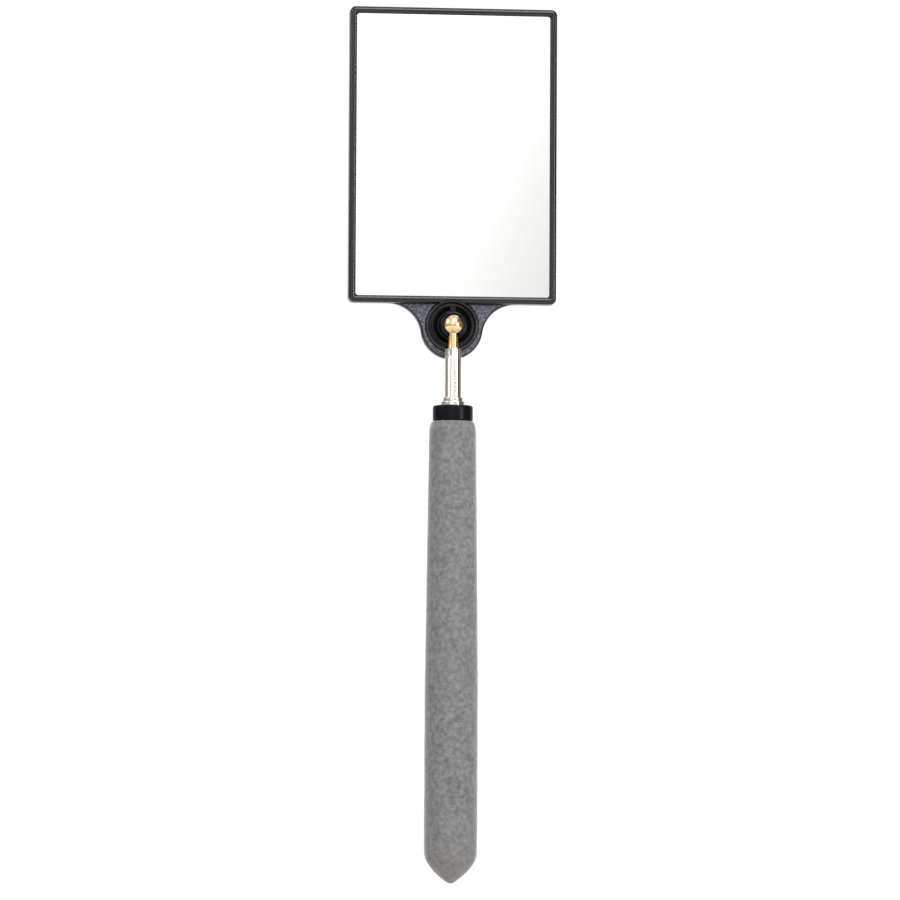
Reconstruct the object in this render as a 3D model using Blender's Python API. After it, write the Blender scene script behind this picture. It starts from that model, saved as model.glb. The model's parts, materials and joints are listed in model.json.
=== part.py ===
"""Telescoping inspection mirror: a framed mirror on a ball joint, three tubes and a cushion grip.

The tool stands upright, closed. The stem runs along Z, the mirror faces -Y, and the origin is on
the stem's axis halfway up the grip. Named sizes are in millimetres. A piece on the stem is drawn
from its own lower end, and a piece of the mirror head from the ball's centre, where its local +Z
is the mirror's outward normal and its local +Y points up the mirror.
"""

import math

import bmesh
import bpy
from mathutils import Matrix, Vector

MM = 0.001
SIDES = 36            # facets round every turned piece, so that nested rounds share their corners
SEAT_GAP = 0.2        # between two pieces that sit on or in each other
RUN_GAP = 0.05        # radial play of a shim that slides in a tube
EDGE_BREAK = 0.2      # chamfer on the end of a plain turned piece
SHARP_ANGLE = 35.0    # edges steeper than this many degrees are shaded sharp

# Grip, outside radius against the height above its tip
GRIP_LENGTH = 142.0
GRIP_RADIUS = 8.25
GRIP_TIP_LENGTH = 10.0
GRIP_TIP_NOSE = 0.5
GRIP_TIP_POWER = 0.9
GRIP_TIP_STEPS = 10
GRIP_BORE_CHAMFER = 1.2
GRIP_TAPER = [(62.0, 8.22), (81.0, 8.0), (100.0, 7.75), (118.5, 7.45), (137.0, 7.3)]
GRIP_LIP = [(139.5, 7.1), (141.3, 6.85), (142.0, 6.5)]
ORIGIN_HEIGHT = GRIP_LENGTH / 2

# Handle tube inside the grip, and the two plugs that hold the base tube in it
HANDLE_RADIUS = 5.7
HANDLE_WALL = 0.8
HANDLE_BOTTOM = 9.0
COLLAR_RADIUS = 6.2
COLLAR_TOP = 146.9
COLLAR_ROUND = 0.6
SPIGOT_RADIUS = HANDLE_RADIUS - HANDLE_WALL - SEAT_GAP
SPIGOT_LENGTH = 14.0
SPIGOT_LEAD = 1.0
RIB_HEIGHT = 0.25
RIB_EVERY = 6
PLUG_FLANGE = 2.2
PLUG_FLOOR = 16.0

# Telescoping tubes: outside radii, the wall, and how far each stands out of the one below
BASE_RADIUS = 3.65
MIDDLE_RADIUS = 3.1
INNER_RADIUS = 2.55
TUBE_WALL = 0.3
LIP_HEIGHT = 0.8
BASE_PROUD = 1.3
MIDDLE_PROUD = 1.2
INNER_PROUD = 15.1
BEAD_HEIGHT = 1.0
SWAGE = 0.2           # how far a moving tube is swaged in to seat its shims
SWAGE_SLOPE = 0.2
SHIM_PLAY = 0.1
SHIM_SEAT = 0.075
MIDDLE_SHIM_LENGTH = 14.0
INNER_SHIM_LENGTH = 12.0
STOP_CLEARANCE = 1.3  # from the middle tube's shims up to the inner tube's lower end

# Ball stud, crimped into the inner tube
BALL_RADIUS = 3.175
BALL_HEIGHT = 172.0
NECK_RADIUS = 1.5
NECK_FLARE_RADIUS = 1.7
SHANK_RADIUS = 2.05
SHANK_LENGTH = 11.0
SHOULDER_DEPTH = 0.6
GROOVE_TOP = 0.9
GROOVE_BOTTOM = 2.9
CRIMP_LENGTH = 3.0
FLUTES = 9
FLUTE_DEPTH = 0.2

# Mirror frame. Depths run forward from the frame's flat back.
FRAME_WIDTH = 64.6
FRAME_HEIGHT = 92.0
FRAME_CORNER = 1.8
FRAME_ABOVE_BALL = 6.8
RIM_WIDTH = 2.0
RIM_FRONT = 5.2
RIM_ROUND = 1.1
BACK_CHAMFER = 0.4
BACK_WALL = 1.2
TAB_FRONT = 3.2
TAB_ROUND = 0.4
LOBE_RADIUS = 9.6
LOBE_DROP = 0.8       # the lobe's centre lies this far below the ball
FILLET_RADIUS = 10.5
BALL_DEPTH = 6.8
RING_FRONT = 3.9
RING_RADIUS = 8.2
RING_ROUND = 0.35
POCKET_RADIUS = 6.95
WEB_BACK = 1.5
WEB_FRONT = 2.6
WEB_HOLE = 3.1
REAR_BOSS_RADIUS = 6.2
REAR_BOSS_BACK = -0.8
COUNTERBORE = 4.6
CUT_PAST = 2.0        # how far a cutter runs past the face that it opens

# Glass and the foam tape behind it
GLASS_FRONT = 4.3
GLASS_THICKNESS = 2.0
GLASS_CHAMFER = 0.3
PAD_THICKNESS = 0.75
PAD_MARGIN = 5.0

# Socket turret: a dished disc with a split collet round the ball and a hub through the frame
TURRET_RADIUS = 6.5
TURRET_BACK = 2.8
TURRET_RIM = 4.8
DISH_FLOOR = 3.8
COLLET_RADIUS = 4.0
COLLET_TOP = 7.8
COLLET_ROUND = 0.4
SEAT_RADIUS = 3.275
HUB_RADIUS = 2.9
HUB_BACK = -0.7
HUB_BORE = 1.9
GROOVE_RADIUS = 2.35
STEM_SLOT = 3.6
SPINE_WIDTH = 1.7
SPINE_TOP = 6.9

# Fasteners and friction pieces behind the turret
RING_BACK = -0.25
RING_THICKNESS = 0.4
WASHER_THICKNESS = 0.3
WAVE_HEIGHT = 0.12
SCREW_RADIUS = 1.7
SCREW_BACK = -0.5
SCREW_LENGTH = 1.7
SCREW_SLOT_WIDTH = 0.6
SCREW_SLOT_DEPTH = 0.7
BALL_PAD_BACK = 2.4
PAD_SPRING_THICKNESS = 0.25


# ---------------------------------------------------------------- modelling helpers

def clear_scene():
    for thing in list(bpy.data.objects):
        bpy.data.objects.remove(thing, do_unlink=True)


def material(name, colour, roughness, metallic=0.0):
    made = bpy.data.materials.new(name)
    made.use_nodes = True
    shader = made.node_tree.nodes["Principled BSDF"]
    shader.inputs["Base Color"].default_value = (*colour, 1.0)
    shader.inputs["Roughness"].default_value = roughness
    shader.inputs["Metallic"].default_value = metallic
    made.diffuse_color = (*colour, 1.0)
    return made


def add_object(name, shape, parent=None, height=None):
    """Scale a bmesh drawn in millimetres to metres and put it in the scene, shaded smooth."""
    bmesh.ops.scale(shape, vec=(MM, MM, MM), verts=shape.verts)
    bmesh.ops.recalc_face_normals(shape, faces=shape.faces)
    mesh = bpy.data.meshes.new(name)
    shape.to_mesh(mesh)
    shape.free()
    mesh.shade_smooth()
    mesh.set_sharp_from_angle(angle=math.radians(SHARP_ANGLE))
    thing = bpy.data.objects.new(name, mesh)
    bpy.context.collection.objects.link(thing)
    thing.parent = parent
    if height is not None:
        thing.location.z = (height - ORIGIN_HEIGHT) * MM
    return thing


def add_empty(name, location, rotation=(0.0, 0.0, 0.0)):
    marker = bpy.data.objects.new(name, None)
    marker.empty_display_size = 0.01
    marker.location = location
    marker.rotation_euler = rotation
    bpy.context.collection.objects.link(marker)
    return marker


def arc(centre, radius, start, end, steps):
    """Points of an arc in a plane, angles in degrees, both ends included."""
    points = []
    for i in range(steps + 1):
        angle = math.radians(start + (end - start) * i / steps)
        points.append((centre[0] + radius * math.cos(angle), centre[1] + radius * math.sin(angle)))
    return points


def turned(profile, closed=True, sweep=360.0, start=0.0, sides=SIDES):
    """Turn a profile of (radius, height) points about Z.

    A closed profile makes a ring, and an open one that starts and ends on the axis makes a solid.
    A sweep of less than a full turn gets a flat face at each end.
    """
    shape = bmesh.new()
    turn = Matrix.Rotation(math.radians(start), 3, "Z")
    corners = [shape.verts.new(turn @ Vector((radius, 0.0, z))) for radius, z in profile]
    full = sweep >= 360.0
    if full:
        geometry = [shape.edges.new(pair) for pair in zip(corners, corners[1:])]
        if closed:
            geometry.append(shape.edges.new((corners[-1], corners[0])))
    else:
        geometry = [shape.faces.new(corners)]
    bmesh.ops.spin(
        shape, geom=geometry + corners, cent=(0, 0, 0), axis=(0, 0, 1),
        angle=math.radians(sweep), steps=round(sides * sweep / 360.0), use_merge=full,
    )
    bmesh.ops.remove_doubles(shape, verts=shape.verts, dist=1e-4)
    return shape


def raised(outline, bottom, top):
    """Extrude a closed outline of (x, y) points from one level up to another."""
    shape = bmesh.new()
    base = shape.faces.new([shape.verts.new((x, y, bottom)) for x, y in outline])
    grown = bmesh.ops.extrude_face_region(shape, geom=[base])
    moved = [item for item in grown["geom"] if isinstance(item, bmesh.types.BMVert)]
    bmesh.ops.translate(shape, vec=(0, 0, top - bottom), verts=moved)
    return shape


def rounded_rectangle(width, height, corner, centre_y, steps=3):
    x = width / 2 - corner
    y = height / 2 - corner
    outline = []
    for cx, cy, angle in [(x, y, 0), (-x, y, 90), (-x, -y, 180), (x, -y, 270)]:
        outline += arc((cx, centre_y + cy), corner, angle, angle + 90, steps)
    return outline


def bevelled_edges(shape, chosen, width, segments):
    """Bevel the edges that chosen() picks."""
    edges = [edge for edge in shape.edges if chosen(edge)]
    bmesh.ops.bevel(
        shape, geom=edges, offset=width, offset_type="OFFSET", segments=segments,
        profile=0.5, affect="EDGES", clamp_overlap=True,
    )


def lies_at(level):
    """Test for an edge that lies flat at one height."""
    return lambda edge: all(abs(vert.co.z - level) < 1e-3 for vert in edge.verts)


def combine(thing, tool, operation):
    """Boolean union or difference with a tool object, which stays in the scene as a guide."""
    step = thing.modifiers.new(tool.name, "BOOLEAN")
    step.operation = operation
    step.object = tool
    tool.hide_render = True
    tool.display_type = "WIRE"


# ---------------------------------------------------------------- handle

def grip_outline():
    """Outside of the grip from its tip up to its mouth: a blunt dipped tip, a slow taper, a lip."""
    outline = [(0.0, 0.0)]
    full = math.sqrt(GRIP_TIP_LENGTH * (GRIP_TIP_LENGTH + 2 * GRIP_TIP_NOSE))
    for i in range(1, GRIP_TIP_STEPS + 1):
        distance = GRIP_TIP_LENGTH * (i / GRIP_TIP_STEPS) ** 2
        share = math.sqrt(distance * (distance + 2 * GRIP_TIP_NOSE)) / full
        outline.append((GRIP_RADIUS * math.sin(math.pi / 2 * share ** GRIP_TIP_POWER), distance))
    outline += [(radius, height) for height, radius in GRIP_TAPER + GRIP_LIP]
    return outline


def make_grip(foam):
    bore = HANDLE_RADIUS + SEAT_GAP
    floor = HANDLE_BOTTOM - PLUG_FLANGE - 2 * SEAT_GAP
    outline = grip_outline()
    outline += [(bore, GRIP_LENGTH), (bore, floor + GRIP_BORE_CHAMFER)]
    outline += [(bore - GRIP_BORE_CHAMFER, floor), (0.0, floor)]
    grip = add_object("cushion_grip", turned(outline, closed=False), height=0.0)
    grip.data.materials.append(foam)


def make_handle_tube(aluminium):
    inside = HANDLE_RADIUS - HANDLE_WALL
    length = GRIP_LENGTH - HANDLE_BOTTOM
    profile = [
        (HANDLE_RADIUS, length - EDGE_BREAK), (HANDLE_RADIUS, EDGE_BREAK),
        (HANDLE_RADIUS - EDGE_BREAK, 0.0), (inside, 0.0),
        (inside, length), (HANDLE_RADIUS - EDGE_BREAK, length),
    ]
    tube = add_object("handle_tube", turned(profile), height=HANDLE_BOTTOM)
    tube.data.materials.append(aluminium)


def ribbed(shape, low, high, radius):
    """Pull a spigot's wall in between its crush ribs, one rib every few facets."""
    for vert in shape.verts:
        around = math.hypot(vert.co.x, vert.co.y)
        if not low < vert.co.z < high or abs(around - radius) > 1e-3:
            continue
        facet = round(math.degrees(math.atan2(vert.co.y, vert.co.x)) * SIDES / 360.0)
        if facet % RIB_EVERY:
            shrink = (radius - RIB_HEIGHT) / radius
            vert.co.x *= shrink
            vert.co.y *= shrink
    return shape


def make_front_collar(nylon):
    """Flange on the handle tube's end, with a ribbed spigot down into it and a bore for the base tube."""
    bore = BASE_RADIUS + SEAT_GAP
    seat = GRIP_LENGTH + SEAT_GAP
    flange = COLLAR_TOP - seat
    lead = SPIGOT_LEAD
    root = SPIGOT_RADIUS - RIB_HEIGHT
    profile = [
        (bore, flange - EDGE_BREAK), (bore, -SPIGOT_LENGTH), (SPIGOT_RADIUS - lead / 2, -SPIGOT_LENGTH),
        (SPIGOT_RADIUS, lead - SPIGOT_LENGTH), (SPIGOT_RADIUS, -lead), (root, EDGE_BREAK - lead), (root, 0.0),
        (COLLAR_RADIUS - EDGE_BREAK, 0.0), (COLLAR_RADIUS, EDGE_BREAK),
    ]
    round_centre = (COLLAR_RADIUS - COLLAR_ROUND, flange - COLLAR_ROUND)
    profile += arc(round_centre, COLLAR_ROUND, 0, 90, 4)
    profile += [(bore + EDGE_BREAK, flange)]
    shape = ribbed(turned(profile), lead / 2 - SPIGOT_LENGTH, EDGE_BREAK / 2 - lead, SPIGOT_RADIUS)
    collar = add_object("front_collar", shape, height=seat)
    collar.data.materials.append(nylon)


def make_rear_plug(nylon):
    """Plug in the handle tube's lower end, with a blind bore where the base tube bottoms."""
    bore = BASE_RADIUS + SEAT_GAP
    seat = HANDLE_BOTTOM - SEAT_GAP
    floor = PLUG_FLOOR - seat
    top = floor + SPIGOT_LENGTH / 2
    lead = SPIGOT_LEAD
    root = SPIGOT_RADIUS - RIB_HEIGHT
    profile = [
        (0.0, -PLUG_FLANGE), (HANDLE_RADIUS - lead, -PLUG_FLANGE), (HANDLE_RADIUS, lead - PLUG_FLANGE),
        (HANDLE_RADIUS, 0.0), (root, 0.0), (root, lead - EDGE_BREAK),
        (SPIGOT_RADIUS, lead), (SPIGOT_RADIUS, top - lead), (SPIGOT_RADIUS - lead / 2, top),
        (bore, top), (bore, floor), (0.0, floor),
    ]
    shape = ribbed(turned(profile, closed=False), lead - EDGE_BREAK / 2, top - lead / 2, SPIGOT_RADIUS)
    plug = add_object("rear_plug", shape, height=seat)
    plug.data.materials.append(nylon)


# ---------------------------------------------------------------- telescoping stem

def rolled_lip(radius, length, lip_inside):
    """Top of a tube, from its outside round the rolled edge to its bore below the lip."""
    inside = radius - TUBE_WALL
    return [
        (radius, length - 0.25), (radius - 0.08, length), (lip_inside + 0.08, length),
        (lip_inside, length - 0.15), (lip_inside, length - LIP_HEIGHT + 0.15),
        (inside, length - LIP_HEIGHT),
    ]


def swaged_seat(radius, shim_length):
    """Outside of a moving tube's lower end, bottom up: a bead, a waist for the shims, a shoulder."""
    waist = radius - SWAGE
    low = BEAD_HEIGHT + SWAGE_SLOPE
    high = low + shim_length + 2 * SHIM_PLAY
    return [
        (radius - 0.1, 0.0), (radius, 0.1), (radius, BEAD_HEIGHT), (waist, low),
        (waist, high), (radius, high + SWAGE_SLOPE),
    ]


def swaged_bore(radius, shim_length):
    """Inside of the same end, top down, one wall in from the waist."""
    waist = radius - SWAGE - TUBE_WALL
    shoulder = BEAD_HEIGHT + 2 * SWAGE_SLOPE + shim_length + 2 * SHIM_PLAY
    return [(radius - TUBE_WALL, shoulder + 2 * SWAGE_SLOPE), (waist, shoulder + SWAGE_SLOPE), (waist, 0.0)]


def make_base_tube(plated):
    bottom = PLUG_FLOOR + SEAT_GAP
    length = COLLAR_TOP + BASE_PROUD - bottom
    inside = BASE_RADIUS - TUBE_WALL
    profile = [(inside, 0.0), (BASE_RADIUS - 0.1, 0.0), (BASE_RADIUS, 0.1)]
    profile += rolled_lip(BASE_RADIUS, length, MIDDLE_RADIUS + 2 * RUN_GAP)
    tube = add_object("base_tube", turned(profile), height=bottom)
    tube.data.materials.append(plated)


def make_middle_tube(bottom, length, axis, plated):
    mouth = rolled_lip(MIDDLE_RADIUS, length, INNER_RADIUS + 2 * RUN_GAP)
    profile = swaged_seat(MIDDLE_RADIUS, MIDDLE_SHIM_LENGTH) + mouth
    profile += swaged_bore(MIDDLE_RADIUS, MIDDLE_SHIM_LENGTH)
    tube = add_object("middle_tube", turned(profile), parent=axis, height=bottom)
    tube.data.materials.append(plated)


def make_inner_tube(bottom, length, axis, plated):
    profile = swaged_seat(INNER_RADIUS, INNER_SHIM_LENGTH) + crimped_mouth(INNER_RADIUS, length)
    profile += swaged_bore(INNER_RADIUS, INNER_SHIM_LENGTH)
    shape = turned(profile)
    flute_crimp(shape, INNER_RADIUS, length)
    tube = add_object("inner_tube", shape, parent=axis, height=bottom)
    tube.data.materials.append(plated)


def crimped_mouth(radius, length):
    """Mouth of the inner tube, pressed into the stud's groove and over its shoulder."""
    inside = radius - TUBE_WALL
    grip_inside = SHANK_RADIUS - RUN_GAP
    return [
        (radius, length - CRIMP_LENGTH), (radius, length - 0.75 * CRIMP_LENGTH),
        (radius, length - 0.5 * CRIMP_LENGTH), (radius, length - 0.25 * CRIMP_LENGTH),
        (radius - 0.1, length), (NECK_FLARE_RADIUS + SEAT_GAP, length),
        (NECK_FLARE_RADIUS + SEAT_GAP, length - 0.4), (inside, length - 0.7),
        (inside, length - 1.1), (grip_inside, length - 1.4), (grip_inside, length - 2.2),
        (inside, length - 2.5),
    ]


def flute_crimp(shape, radius, length):
    """Press the crimp's flutes into the outside of the mouth, deepest at mid-height."""
    middle = length - CRIMP_LENGTH / 2
    for vert in shape.verts:
        around = math.hypot(vert.co.x, vert.co.y)
        reach = abs(vert.co.z - middle) / (CRIMP_LENGTH / 2)
        if around < radius - 0.15 or reach > 0.99:
            continue
        turn = math.atan2(vert.co.y, vert.co.x)
        depth = FLUTE_DEPTH * (0.5 + 0.5 * math.cos(FLUTES * turn)) * (1 - reach ** 2)
        shrink = (around - depth) / around
        vert.co.x *= shrink
        vert.co.y *= shrink


def make_shims(stage, tube_radius, outer_tube_radius, bottom, length, axis, brass):
    """Two half shells that fill the swaged waist and rub on the tube outside."""
    inside = tube_radius - SWAGE + SHIM_SEAT
    outside = outer_tube_radius - TUBE_WALL - RUN_GAP
    profile = [(inside, 0.0), (outside, 0.0), (outside, length), (inside, length)]
    step = 360.0 / SIDES
    for side, start in (("rear", step), ("front", 180.0 + step)):
        shell = turned(profile, sweep=180.0 - 2 * step, start=start)
        shim = add_object(f"{stage}_shim_{side}", shell, parent=axis, height=bottom)
        shim.data.materials.append(brass)


def make_stem(plated, brass):
    """Middle and inner tubes with their shims, each on an empty that lies on the slide's axis."""
    middle_axis = add_empty("middle_slide_axis", (0, 0, 0))
    inner_axis = add_empty("inner_slide_axis", (0, 0, 0))
    inner_axis.parent = middle_axis

    middle_bottom = PLUG_FLOOR + 2 * SEAT_GAP
    middle_top = COLLAR_TOP + BASE_PROUD + MIDDLE_PROUD
    middle_shims = middle_bottom + BEAD_HEIGHT + SWAGE_SLOPE + SHIM_PLAY
    make_middle_tube(middle_bottom, middle_top - middle_bottom, middle_axis, plated)
    make_shims("middle", MIDDLE_RADIUS, BASE_RADIUS, middle_shims, MIDDLE_SHIM_LENGTH, middle_axis, brass)

    inner_bottom = middle_shims + MIDDLE_SHIM_LENGTH + STOP_CLEARANCE
    inner_top = middle_top + INNER_PROUD
    inner_shims = inner_bottom + BEAD_HEIGHT + SWAGE_SLOPE + SHIM_PLAY
    make_inner_tube(inner_bottom, inner_top - inner_bottom, inner_axis, plated)
    make_shims("inner", INNER_RADIUS, MIDDLE_RADIUS, inner_shims, INNER_SHIM_LENGTH, inner_axis, brass)
    make_ball_stud(inner_top, inner_axis, brass)


def make_ball_stud(tube_top, axis, brass):
    """Ball, flared neck and grooved shank, turned in one piece and drawn from the ball's centre."""
    mouth = tube_top - BALL_HEIGHT
    shoulder = mouth - SHOULDER_DEPTH
    foot = shoulder - SHANK_LENGTH
    neck_angle = -math.degrees(math.acos(NECK_RADIUS / BALL_RADIUS))
    profile = [(0.0, foot), (SHANK_RADIUS - 0.4, foot), (SHANK_RADIUS, foot + 0.4)]
    profile += [(SHANK_RADIUS, mouth - GROOVE_BOTTOM), (NECK_FLARE_RADIUS, mouth - GROOVE_BOTTOM + EDGE_BREAK)]
    profile += [(NECK_FLARE_RADIUS, mouth - GROOVE_TOP - EDGE_BREAK), (SHANK_RADIUS, mouth - GROOVE_TOP)]
    profile += [(SHANK_RADIUS, shoulder - 0.1), (NECK_FLARE_RADIUS, shoulder), (NECK_FLARE_RADIUS, mouth + 0.2)]
    profile += [(NECK_RADIUS + 0.06, mouth + 1.0), (NECK_RADIUS, mouth + 2.0)]
    profile += arc((0.0, 0.0), BALL_RADIUS, neck_angle, 90.0, 14)
    profile[-1] = (0.0, BALL_RADIUS)
    stud = add_object("ball_stud", turned(profile, closed=False), parent=axis, height=BALL_HEIGHT)
    stud.data.materials.append(brass)


# ---------------------------------------------------------------- mirror head

def depth(value):
    """Local height, from the ball's centre, of a depth measured from the frame's back."""
    return value - BALL_DEPTH


def tab_outline():
    """Lobe under the frame, with a concave fillet up to the frame's lower edge on each side."""
    root = FRAME_ABOVE_BALL + RIM_WIDTH / 2
    fillet_y = FRAME_ABOVE_BALL - FILLET_RADIUS
    fillet_rise = fillet_y + LOBE_DROP
    fillet_x = math.sqrt((LOBE_RADIUS + FILLET_RADIUS) ** 2 - fillet_rise ** 2)
    touch = math.degrees(math.atan2(fillet_rise, fillet_x))
    right = arc((fillet_x, fillet_y), FILLET_RADIUS, 90.0, 180.0 + touch, 9)
    left = [(-x, y) for x, y in reversed(right)]
    lobe = arc((0.0, -LOBE_DROP), LOBE_RADIUS, touch, -180.0 - touch, 20)
    return [(fillet_x, root)] + right + lobe[1:-1] + left + [(-fillet_x, root)]


def make_mirror_frame(ball_centre, plastic):
    """Moulded tray with a rounded rim, the tab with its raised ring, and the turret's stepped hole."""
    middle_y = FRAME_ABOVE_BALL + FRAME_HEIGHT / 2
    tray = raised(rounded_rectangle(FRAME_WIDTH, FRAME_HEIGHT, FRAME_CORNER, middle_y),
                  depth(0.0), depth(RIM_FRONT))
    bevelled_edges(tray, lies_at(depth(RIM_FRONT)), RIM_ROUND, 3)
    bevelled_edges(tray, lies_at(depth(0.0)), BACK_CHAMFER, 1)
    frame = add_object("mirror_frame", tray, parent=ball_centre)
    frame.data.materials.append(plastic)

    tab_shape = raised(tab_outline(), depth(0.0), depth(TAB_FRONT))
    bevelled_edges(tab_shape, lies_at(depth(TAB_FRONT)), TAB_ROUND, 2)
    combine(frame, add_object("tab_guide", tab_shape, parent=ball_centre), "UNION")

    inside_tab = depth(TAB_FRONT / 3)
    boss_profile = [
        (0.0, depth(RING_FRONT)), (RING_RADIUS - RING_ROUND, depth(RING_FRONT)),
        (RING_RADIUS, depth(RING_FRONT - RING_ROUND)), (RING_RADIUS, inside_tab),
        (REAR_BOSS_RADIUS, inside_tab), (REAR_BOSS_RADIUS, depth(REAR_BOSS_BACK + RING_ROUND)),
        (REAR_BOSS_RADIUS - RING_ROUND, depth(REAR_BOSS_BACK)), (0.0, depth(REAR_BOSS_BACK)),
    ]
    boss = add_object("boss_guide", turned(boss_profile, closed=False), parent=ball_centre)
    combine(frame, boss, "UNION")

    opening = raised(
        rounded_rectangle(FRAME_WIDTH - 2 * RIM_WIDTH, FRAME_HEIGHT - 2 * RIM_WIDTH, 0.8, middle_y, 2),
        depth(BACK_WALL), depth(RIM_FRONT + CUT_PAST),
    )
    combine(frame, add_object("glass_pocket_cutter", opening, parent=ball_centre), "DIFFERENCE")

    front = depth(RING_FRONT + CUT_PAST)
    back = depth(REAR_BOSS_BACK - CUT_PAST)
    hole_profile = [
        (0.0, front), (POCKET_RADIUS, front), (POCKET_RADIUS, depth(WEB_FRONT)),
        (WEB_HOLE, depth(WEB_FRONT)), (WEB_HOLE, depth(WEB_BACK)), (COUNTERBORE, depth(WEB_BACK)),
        (COUNTERBORE, back), (0.0, back),
    ]
    hole = add_object("turret_hole_cutter", turned(hole_profile, closed=False), parent=ball_centre)
    combine(frame, hole, "DIFFERENCE")


def make_glass(ball_centre, silvered, foam_tape):
    middle_y = FRAME_ABOVE_BALL + FRAME_HEIGHT / 2
    width = FRAME_WIDTH - 2 * (RIM_WIDTH + SEAT_GAP)
    height = FRAME_HEIGHT - 2 * (RIM_WIDTH + SEAT_GAP)
    front = depth(GLASS_FRONT)
    sheet = raised(rounded_rectangle(width, height, 0.6, middle_y, 2), front - GLASS_THICKNESS, front)
    bevelled_edges(sheet, lies_at(front), GLASS_CHAMFER, 1)
    glass = add_object("mirror_glass", sheet, parent=ball_centre)
    glass.data.materials.append(silvered)

    tape_front = front - GLASS_THICKNESS - SEAT_GAP
    tape = raised(
        rounded_rectangle(width - 2 * PAD_MARGIN, height - 2 * PAD_MARGIN, 2.0, middle_y),
        tape_front - PAD_THICKNESS, tape_front,
    )
    pad = add_object("adhesive_pad", tape, parent=ball_centre)
    pad.data.materials.append(foam_tape)


def turret_profile():
    """Half section of the turret, from the hub's back round its outside and down the ball's seat."""
    groove_low = depth(RING_BACK - SEAT_GAP)
    groove_high = depth(RING_BACK + RING_THICKNESS + SEAT_GAP)
    hub = [
        (HUB_BORE, depth(HUB_BACK)), (HUB_RADIUS - EDGE_BREAK, depth(HUB_BACK)),
        (HUB_RADIUS, depth(HUB_BACK + EDGE_BREAK)),
        (HUB_RADIUS, groove_low), (GROOVE_RADIUS, groove_low), (GROOVE_RADIUS, groove_high),
        (HUB_RADIUS, groove_high), (HUB_RADIUS, depth(TURRET_BACK)),
    ]
    disc = [
        (TURRET_RADIUS, depth(TURRET_BACK)), (TURRET_RADIUS, depth(TURRET_RIM - EDGE_BREAK)),
        (TURRET_RADIUS - EDGE_BREAK, depth(TURRET_RIM)), (TURRET_RADIUS - 0.6, depth(TURRET_RIM)),
        (TURRET_RADIUS - 1.0, depth(TURRET_RIM - 0.35)), (TURRET_RADIUS - 1.6, depth(DISH_FLOOR + 0.2)),
        (COLLET_RADIUS + COLLET_ROUND + 0.1, depth(DISH_FLOOR)),
    ]
    root_centre = (COLLET_RADIUS + COLLET_ROUND, depth(DISH_FLOOR + COLLET_ROUND))
    root = arc(root_centre, COLLET_ROUND, 270, 180, 3)
    crown_centre = (COLLET_RADIUS - COLLET_ROUND - 0.05, depth(COLLET_TOP - COLLET_ROUND))
    crown = arc(crown_centre, COLLET_ROUND, 0, 90, 3)
    lip_angle = math.degrees(math.asin(depth(COLLET_TOP) / SEAT_RADIUS))
    bore_angle = -math.degrees(math.acos(HUB_BORE / SEAT_RADIUS))
    seat = arc((0.0, 0.0), SEAT_RADIUS, lip_angle, bore_angle, 8)
    return hub + disc + root + crown + seat


def stem_slot():
    """Cutter for the slot that lets the neck lie down between the collet's jaws."""
    half = STEM_SLOT / 2
    outline = arc((0.0, 0.0), half, 180, 360, 10) + [(half, 3.0), (-half, 3.0)]
    cutter = raised(outline, 0.0, COLLET_RADIUS + 1.0)
    bmesh.ops.rotate(cutter, verts=cutter.verts, cent=(0, 0, 0), matrix=Matrix.Rotation(math.pi / 2, 3, "X"))
    return cutter


def spine_rib():
    """Rib from the disc's rim up to the collet's back, where the jaws join and flex."""
    inner = COLLET_RADIUS - COLLET_ROUND
    outer = TURRET_RADIUS - COLLET_ROUND
    foot = depth((TURRET_BACK + DISH_FLOOR) / 2)
    outline = [(foot, inner), (foot, outer), (depth(TURRET_RIM), outer), (depth(SPINE_TOP), inner)]
    rib = raised(outline, -SPINE_WIDTH / 2, SPINE_WIDTH / 2)
    bmesh.ops.rotate(rib, verts=rib.verts, cent=(0, 0, 0), matrix=Matrix.Rotation(-math.pi / 2, 3, "Y"))
    return rib


def make_turret(ball_centre, moulding):
    turret = add_object("socket_turret", turned(turret_profile()), parent=ball_centre)
    turret.data.materials.append(moulding)
    combine(turret, add_object("stem_slot_cutter", stem_slot(), parent=ball_centre), "DIFFERENCE")
    combine(turret, add_object("spine_rib_guide", spine_rib(), parent=ball_centre), "UNION")


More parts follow.
